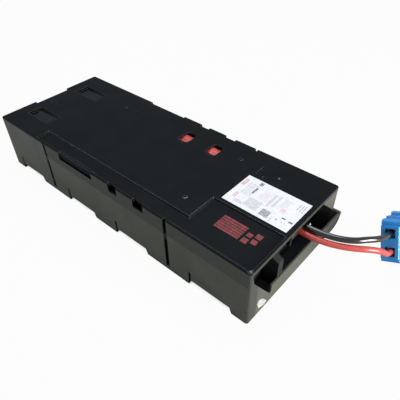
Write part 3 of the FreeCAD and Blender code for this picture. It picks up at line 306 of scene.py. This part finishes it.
def tray_painted_light_and_shade():
    """Painted light and shade on the pocket, prop rib, near front post, slots, and the rear faces
    of the foot cut-outs.
    """
    divider, wall, pocket_top = 415, 2.6, 79
    rib_near, rib_far, rib_front, crown_level = 54, 66, 440, 34
    pocket = zone_box(divider, case_length - wall, wall, case_width - wall, 2, pocket_top)
    rib_crown = zone_box(divider, rib_front, rib_near, rib_far, crown_level, pocket_top)
    rib = zone_box(divider, rib_front, rib_near, rib_far, 2, pocket_top)
    post = zone_box(438, 455, -slack, 14, -slack, over_top)
    # Painted light lifts the pocket's floor and far-facing walls; painted shade darkens its front-
    # and near-facing walls, the prop rib and the front post's front face.
    tones = [(pocket, AHEAD, 0.3, "#3c3f41")]
    tones += [(pocket, way, 0.3, "#55585a") for way in (UP, NEARER, FARTHER)]
    tones += [(pocket, NEARER, 0.6, "#1f2123"), (rib_crown, UP, 0.5, "#2b2e30"),
              (rib, AHEAD, 0.3, "#222527"), (post, AHEAD, 0.3, "#3c3e3b")]
    tones += shaded_slots()
    # Painted shade on the rear faces of the foot cut-outs.
    for low, high, _ in LONG_SIDES:
        tones.append((zone_box(4, 432, low, high, -slack, 30), AHEAD, 0.6, PAINTED_SHADE))
    return tones


def cover_painted_light_and_shade():
    """Painted light and shade on the cover: skirts and front rim lighter, in the tray's tone, and
    the scoop ramps lighter; painted shade in the slots, small hollows, lift scoops and windows.
    """
    skirt_low, skirt_high = 50, 78.5
    length, width = (-slack, case_length + slack), (-slack, case_width + slack)
    near_skirt = zone_box(*length, -slack / 2, 1.0, skirt_low, skirt_high)
    far_skirt = zone_box(*length, case_width - 1.0, case_width + slack, skirt_low, skirt_high)
    front_rim = zone_box(case_length - 1.5, case_length + slack, *width, skirt_low, over_top)
    # Painted light: the skirts and the front rim of the black cover are made lighter.
    tones = [(near_skirt, NEARER, 0.7, "#4c4e4a"), (far_skirt, FARTHER, 0.7, "#4c4e4a"),
             (front_rim, AHEAD, 0.7, "#3c3e3b")]
    tones += shaded_slots()
    # Painted shade in small hollows.
    for hollow in ((118, 150, 129, 137), (354, 360, 124, 144), (15, 40, 70, 76),
                   (364, 373, 122, 129)):
        tones += [(zone_box(*hollow, 76, 79.2), way, 0.6, PAINTED_DEEP_SHADE)
                  for way in (UP, AHEAD, NEARER)]
    # Lift scoops: painted light on the ramp floor, painted shade on the walls and painted shadow
    # along the rear and far walls.
    scoop_rear, scoop_front, scoop_width, depths = 20, 78, 22, (74, 79.3)
    for near in (31, 115):
        far = near + scoop_width
        scoop = zone_box(scoop_rear, scoop_front, near, far, *depths)
        rear_shade = zone_box(scoop_rear, scoop_rear + 7, near, far, *depths)
        far_shade = zone_box(scoop_rear, scoop_front - 8, far - 4, far, *depths)
        tones += [(scoop, UP, 0.9, "#1d2023"), (scoop, AHEAD, 0.6, PAINTED_DEEP_SHADE),
                  (scoop, NEARER, 0.6, PAINTED_DEEP_SHADE), (rear_shade, UP, 0.9, "#040505"),
                  (far_shade, UP, 0.9, "#040505")]
    # Painted shade on the front-facing walls of the skirt windows.
    tones.append((zone_box(130, 325, *width, 56, 81), AHEAD, 0.9, "#050606"))
    return tones


# Edge boxes: inside them the paler edges are full, partly scuffing and partly a painted highlight
# along the front end, the ledges and the front rim.
front_end = zone_box(430, 455, -slack, case_width + slack, -slack, over_top)
ledge_edges = zone_box(84, 444, 16, 68, 79, over_top)
front_rim_edges = zone_box(334, 444, -slack, 16, 78.6, over_top)
tray_abs = spark_eroded_abs("charcoal_abs_spark_eroded", "#4c4e49", "#555751", "#8b8e86",
                            0.55, 0.7, 0.35, scuff_highlight_level=0.3, edge_mm=0.9, sheen=0.25,
                            scuff_highlight_boxes=[front_end], painted_light_zones=tray_painted_light_and_shade())
cover_abs = spark_eroded_abs("black_abs_satin", "#0c0f12", "#111417", "#a9afb0",
                             0.5, 0.6, 0.25, scuff_highlight_level=1.0, edge_mm=1.2, sheen=0.05,
                             scuff_highlight_boxes=[ledge_edges, front_rim_edges], painted_light_zones=cover_painted_light_and_shade())
block_abs = spark_eroded_abs("grey_abs_block_case", "#2a2b2d", "#323335", "#606060",
                             0.5, 0.9, 0.3)
lid_abs = spark_eroded_abs("pale_grey_abs_lid", "#55575a", "#5e6063", "#8a8a8a", 0.45, 0.9, 0.2)
red_pvc = smooth_plastic("red_silicone_insulation", "#b0423e", "#bd4f49", 0.3, 14.0, 1.46, 0.3)
red_sleeve = smooth_plastic("red_pvc_sleeve", "#c2403c", "#d4544d", 0.45, 5.0, 1.5)
black_pvc = smooth_plastic("black_silicone_insulation", "#0f1011", "#151617", 0.24, 14.0, 1.5,
                           0.8)
blue_pc = smooth_plastic("blue_polycarbonate", "#2183cc", "#2e95de", 0.3, 20.0, 1.58, 0.2)
natural_nylon = smooth_plastic("natural_nylon", "#d6d2c6", "#e4e1d8", 0.42, 6.0, 1.53)
grey_nylon = smooth_plastic("grey_nylon", "#3c3e3d", "#505251", 0.5, 6.0, 1.53)
black_nylon = smooth_plastic("black_nylon", "#17181a", "#1e1f21", 0.5, 9.0, 1.53)
vent_abs = smooth_plastic("dark_abs_vent_strip", "#2c2d2f", "#343537", 0.5)
white_film = fibrous_sheet("white_polyester_film", "#cfd1d8", "#e4e6eb", 0.42, 3.0)
grey_film = fibrous_sheet("grey_polyester_film", "#8c8f8f", "#c4c7c7", 0.5, 3.0)
pressed_board = fibrous_sheet("pressed_board", "#b9a673", "#c9b785", 0.85, 0.8)
closed_foam = fibrous_sheet("closed_cell_foam", "#1f2021", "#2c2d2e", 0.95, 1.2)
tinned_brass = plated_metal("tinned_brass", "#c9c2a8", "#e0dac4", 0.28)
silvered_copper = plated_metal("silver_plated_copper", "#8f8d88", "#a6a4a0", 0.35)
spring_steel = plated_metal("stainless_spring_steel", "#9c9c9c", "#b4b4b4", 0.3)
red_ink = broken_ink("red_screen_ink", "#6c1215", "#841b20", "#1c1516")

finish_of = {"lower_tray": tray_abs, "top_cover": cover_abs, "lead_saddle": black_nylon,
             "connector_housing": blue_pc, "connector_contacts": silvered_copper,
             "connector_springs": spring_steel, "rating_label": white_film,
             "front_sticker": grey_film, "red_print": red_ink, "cover_pins": grey_nylon,
             "lead_fence": cover_abs, "foam_strip_near": closed_foam, "foam_strip_far": closed_foam,
             "red_lead_inner": red_pvc, "black_lead_inner": black_pvc,
             "red_lead_receptacle": natural_nylon, "black_lead_receptacle": natural_nylon}
for number in (1, 2, 3, 4):
    finish_of[f"battery_{number}_case"] = block_abs
    finish_of[f"battery_{number}_lid"] = lid_abs
    finish_of[f"battery_{number}_vent_strip"] = vent_abs
    finish_of[f"battery_{number}_terminals"] = tinned_brass
for number in (1, 2, 3):
    finish_of[f"series_link_{number}"] = black_pvc
    finish_of[f"link_{number}_receptacles"] = natural_nylon
    finish_of[f"terminal_card_{number}"] = pressed_board
for node_name, node_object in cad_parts.items():
    if node_name in finish_of:
        node_object.data.materials.clear()
        node_object.data.materials.append(finish_of[node_name])


# ---------------------------------------------------------------- camera
def aim_camera():
    """Camera from its own axes: right, up and back are the columns of its turn."""
    data = bpy.data.cameras.new("camera")
    data.sensor_width = 36.0
    data.lens = 38.15
    data.clip_start = 0.01
    camera = bpy.data.objects.new("camera", data)
    scene.collection.objects.link(camera)
    right = Vector((0.75101287, 0.66003978, -0.01808769))
    up = Vector((-0.42776786, 0.50722933, 0.7481531))
    back = right.cross(up).normalized()
    turn = Matrix((right, up, back)).transposed().to_4x4()
    place = (0.34525, -0.29349, 0.38836)
    camera.matrix_world = Matrix.Translation(place) @ turn
    scene.camera = camera


aim_camera()


# ---------------------------------------------------------------- leads
def lead(name, points, finish, node):
    """A free lead: a smooth NURBS curve led by its control points, with a round section."""
    radius = 3.4 * MM
    data = bpy.data.curves.new(name, "CURVE")
    data.dimensions = "3D"
    line = data.splines.new("NURBS")
    line.points.add(len(points) - 1)
    line.points.foreach_set("co", np.column_stack([np.array(points) * MM,
                                                   np.ones(len(points))]).ravel())
    line.order_u = 3
    line.use_endpoint_u = True
    line.resolution_u = 16
    data.bevel_depth = radius
    data.bevel_resolution = 8
    data.use_fill_caps = True
    data.materials.append(finish)
    piece = bpy.data.objects.new(name, data)
    scene.collection.objects.link(piece)
    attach(piece, "root")
    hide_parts(node)


lead("black_lead_insulation",
     [(210.3, 14.0, 69.0), (225.3, 14.0, 69.0), (239.3, 16.0, 69.0), (252.8, 20.8, 68.8),
      (264.7, 28.5, 68.3), (273.1, 38.7, 67.5), (280.6, 50.2, 64.2), (283.7, 62.9, 58.8),
      (284.27, 76.07, 53.33), (284.27, 88.12, 48.46)], black_pvc,
     "black_lead")
lead("red_lead_insulation",
     [(210.3, 9.5, 62.8), (225.3, 9.5, 62.8), (240.3, 12.2, 62.3), (254.3, 17.8, 61.8),
      (267.4, 25.2, 61.4), (279.8, 35.4, 60.1), (288.4, 46.4, 54.5), (292.2, 56.5, 44.1),
      (292.13, 68.77, 35.28), (292.13, 80.83, 30.41)], red_pvc,
     "red_lead")


# ---------------------------------------------------------------- sleeves under the cover
def sleeve(name, middle_x):
    """A soft red sleeve round the inner lead, swollen where an oval hole of the cover shows it.
    Over along (-1 to 1) and around (a full turn) it is an ellipse whose two half axes shrink as
    the root of 1 - |along| cubed, with a small sine ripple across, carried along X."""
    half_length, half_width, half_height, drift = 17 * MM, 7 * MM, 3.8 * MM, 1.5 * MM
    middle_y, middle_z = 50.5 * MM, 73.4 * MM
    rings, sides = 29, 24
    along, around = np.meshgrid(np.linspace(-1, 1, rings),
                                np.linspace(0, 2 * math.pi, sides, endpoint=False),
                                indexing="ij")
    swell = np.sqrt(np.maximum(0.05, 1 - np.abs(along) ** 3))
    ripple = 1 + 0.03 * np.sin(40 * along)
    spots = np.stack([middle_x + along * half_length,
                      middle_y + half_width * swell * ripple * np.cos(around) - drift * along,
                      middle_z + half_height * swell * np.sin(around)], axis=-1)
    corners = np.arange(rings * sides).reshape(rings, sides)
    after = np.roll(corners, -1, axis=1)
    walls = np.stack([corners[:-1], after[:-1], after[1:], corners[1:]], axis=-1)
    ends = [corners[0, ::-1].tolist(), corners[-1].tolist()]
    data = bpy.data.meshes.new(name)
    data.from_pydata(spots.reshape(-1, 3).tolist(), [], walls.reshape(-1, 4).tolist() + ends)
    data.shade_smooth()
    data.materials.append(red_sleeve)
    piece = bpy.data.objects.new(name, data)
    scene.collection.objects.link(piece)
    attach(piece, "root")


sleeve("red_lead_sleeve_rear", rear_x + 239 * MM)
sleeve("red_lead_sleeve_front", rear_x + 285 * MM)


# ---------------------------------------------------------------- print on the label
def print_ink(name, colour, second):
    """Thermal ink on film: slightly uneven, a little duller than the film."""
    return fibrous_sheet(name, colour, second, 0.55, 1.1)


def print_label():
    """Plain fields, rows of dashes and discs where the label carries its print. Distances are
    in millimetres from the label's rear near corner. A disc is cosine and sine of a turn."""
    inks = [print_ink("black_label_ink", "#2c2d30", "#4a4b4f"),
            print_ink("grey_label_ink", "#7c7e81", "#a4a6a9"),
            print_ink("pale_label_ink", "#b4b7bb", "#c9ccd0"),
            print_ink("red_label_ink", "#b8474d", "#cf7377"),
            print_ink("pink_label_ink", "#dcb6bb", "#e3c4c8")]
    black, grey, pale, red, pink = range(5)
    low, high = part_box("rating_label")
    dice = np.random.default_rng(7)
    outlines, ink_of = [], []

    def patch(x, y, length, width, ink):
        outlines.append(np.array([(x, y), (x + length, y), (x + length, y + width),
                                  (x, y + width)]))
        ink_of.append(ink)

    def disc(x, y, radius, sides, ink):
        turn = np.linspace(0, 2 * math.pi, sides, endpoint=False)
        outlines.append(np.stack([x + radius * np.cos(turn), y + radius * np.sin(turn)], axis=1))
        ink_of.append(ink)

    def dashes(x, start, end, height, ink, longest=3.0):
        """One row of printed dashes across the label."""
        y = start
        while y < end - 0.6:
            run = min(dice.uniform(0.8, longest), end - y)
            patch(x, y, height, run, ink)
            y += run + dice.uniform(0.4, 0.8)

    for x in (2.2, 4.6):
        dashes(x, 33.2, 45.0, 1.3, red, 2.0)
    for x in (7.0, 9.2):
        dashes(x, 10.4, 19.4, 0.9, red, 2.4)
    dashes(19.2, 44.0, 50.6, 4.6, black, 2.2)
    dashes(20.6, 27.8, 38.6, 2.5, black, 2.6)
    for row in range(7):
        dashes(12.4 + 1.6 * row, 4.4, 9.4, 0.55, grey)
    for row in range(8):
        dashes(10.6 + 1.6 * row, 20.6, 43.0, 0.55, pale if row % 3 else grey)
    for row in range(11):
        dashes(24.4 + 1.55 * row, 5.8, 21.5, 0.6, grey, 4.0)
    for row in range(9):
        dashes(31.2 + 1.5 * row, 25.0, 43.0, 0.55, pink if row % 2 else pale)
    patch(44.2, 20.0, 2.7, 22.2, pale)
    patch(49.6, 22.3, 2.6, 20.6, pale)
    patch(45.2, 4.0, 10.8, 11.6, pale)
    for row in range(5):
        dashes(46.0 + 2.1 * row, 4.8, 15.0, 0.9, grey, 4.0)
    disc(63.6, 25.6, 3.4, 28, pink)
    for x in (73.6, 76.7, 79.6):
        dashes(x, 35.0, 46.4, 1.0, grey, 2.6)
    patch(68.6, 14.4, 4.2, 1.9, black)
    patch(77.0, 13.6, 4.8, 2.0, black)
    disc(65.0, 9.6, 1.2, 16, grey)
    for x in (71.2, 74.4):
        dashes(x, 8.2, 11.0, 0.9, grey, 1.2)
    dashes(59.6, 2.2, 10.0, 0.7, grey)
    for row in range(6):
        dashes(56.0 + 1.5 * row, 26.0 + 1.2 * row, 43.0, 0.5, pale)
    flat = np.vstack(outlines) * MM + low[:2]
    ink_height = 0.03 * MM
    level = np.full((len(flat), 1), high[2] + ink_height)
    ends = np.cumsum([len(outline) for outline in outlines])
    faces = [part.tolist() for part in np.split(np.arange(len(flat)), ends[:-1])]
    data = bpy.data.meshes.new("label_print")
    data.from_pydata(np.hstack([flat, level]).tolist(), [], faces)
    for ink in inks:
        data.materials.append(ink)
    data.polygons.foreach_set("material_index", ink_of)
    piece = bpy.data.objects.new("label_print", data)
    scene.collection.objects.link(piece)
    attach(piece, "root")


print_label()


# ---------------------------------------------------------------- floor and light
def lay_floor():
    """Pale matt floor: seen directly it is mostly white, it takes a soft shadow, and a painted
    shadow darkens it where the tray stands over it."""
    material, tree, shader = new_material("pale_studio_floor")
    shader.inputs["Base Color"].default_value = linear("#a9a9a7")
    shader.inputs["Roughness"].default_value = 0.9
    out = next(node for node in tree.nodes if node.type == "OUTPUT_MATERIAL")
    white = add(tree, "ShaderNodeEmission", {"Color": linear("#ffffff"), "Strength": 1.0})
    seen = add(tree, "ShaderNodeLightPath").outputs["Is Camera Ray"]
    # Painted shadow: ambient occlusion cuts the white share where the tray stands over the floor.
    painted_shade_occlusion = add(tree, "ShaderNodeAmbientOcclusion", {"Distance": 40 * MM}, samples=8)
    bare = add(tree, "ShaderNodeMapRange", {"Value": painted_shade_occlusion.outputs["AO"], "From Min": 0.05,
                                            "From Max": 0.35, "To Max": 0.96}).outputs["Result"]
    share = add(tree, "ShaderNodeMath", {0: seen, 1: bare}, operation="MULTIPLY")
    mixed = add(tree, "ShaderNodeMixShader", {0: share.outputs[0], 1: shader.outputs[0],
                                              2: white.outputs[0]})
    tree.links.new(mixed.outputs[0], out.inputs["Surface"])
    half = 6.0
    mesh = bpy.data.meshes.new("floor")
    mesh.from_pydata([(-half, -half, 0), (half, -half, 0), (half, half, 0), (-half, half, 0)],
                     [], [(0, 1, 2, 3)])
    mesh.materials.append(material)
    floor = bpy.data.objects.new("floor", mesh)
    scene.collection.objects.link(floor)


def soft_lamp(name, place, target, size, power, colour):
    """A square soft box aimed at a point."""
    data = bpy.data.lights.new(name, "AREA")
    data.shape = "SQUARE"
    data.size = size
    data.energy = power
    data.color = linear(colour)[:3]
    lamp = bpy.data.objects.new(name, data)
    aim = Vector(target) - Vector(place)
    lamp.matrix_world = (Matrix.Translation(place)
                         @ aim.to_track_quat("-Z", "Y").to_matrix().to_4x4())
    scene.collection.objects.link(lamp)


def light_world():
    """White to the camera, a pale sweep in reflections, and a dim room to the rest."""
    world = bpy.data.worlds.new("studio")
    world.use_nodes = True
    tree = world.node_tree
    tree.nodes.clear()
    path = add(tree, "ShaderNodeLightPath")
    strength = add(tree, "ShaderNodeMapRange", {"Value": path.outputs["Is Glossy Ray"],
                                                "To Min": 0.35, "To Max": 0.6})
    room = add(tree, "ShaderNodeBackground", {"Color": linear("#e3e7ea"),
                                              "Strength": strength.outputs["Result"]})
    white = add(tree, "ShaderNodeBackground", {"Color": linear("#ffffff"), "Strength": 1.0})
    seen = path.outputs["Is Camera Ray"]
    mixed = add(tree, "ShaderNodeMixShader", {0: seen, 1: room.outputs[0], 2: white.outputs[0]})
    add(tree, "ShaderNodeOutputWorld", {"Surface": mixed.outputs[0]})
    scene.world = world


lay_floor()
light_world()
soft_lamp("key", (1.35, 0.1, 0.37), (0.15, 0.0, 0.04), 0.6, 29.0, "#fffaf2")
soft_lamp("side", (-0.7, -0.8, 0.35), (-0.15, 0.0, 0.03), 0.7, 4.1, "#f4f6f2")
soft_lamp("top", (-0.3, 0.4, 1.5), (0.0, 0.0, 0.0), 1.2, 18.0, "#f2f5ff")
scene.view_settings.view_transform = "Standard"
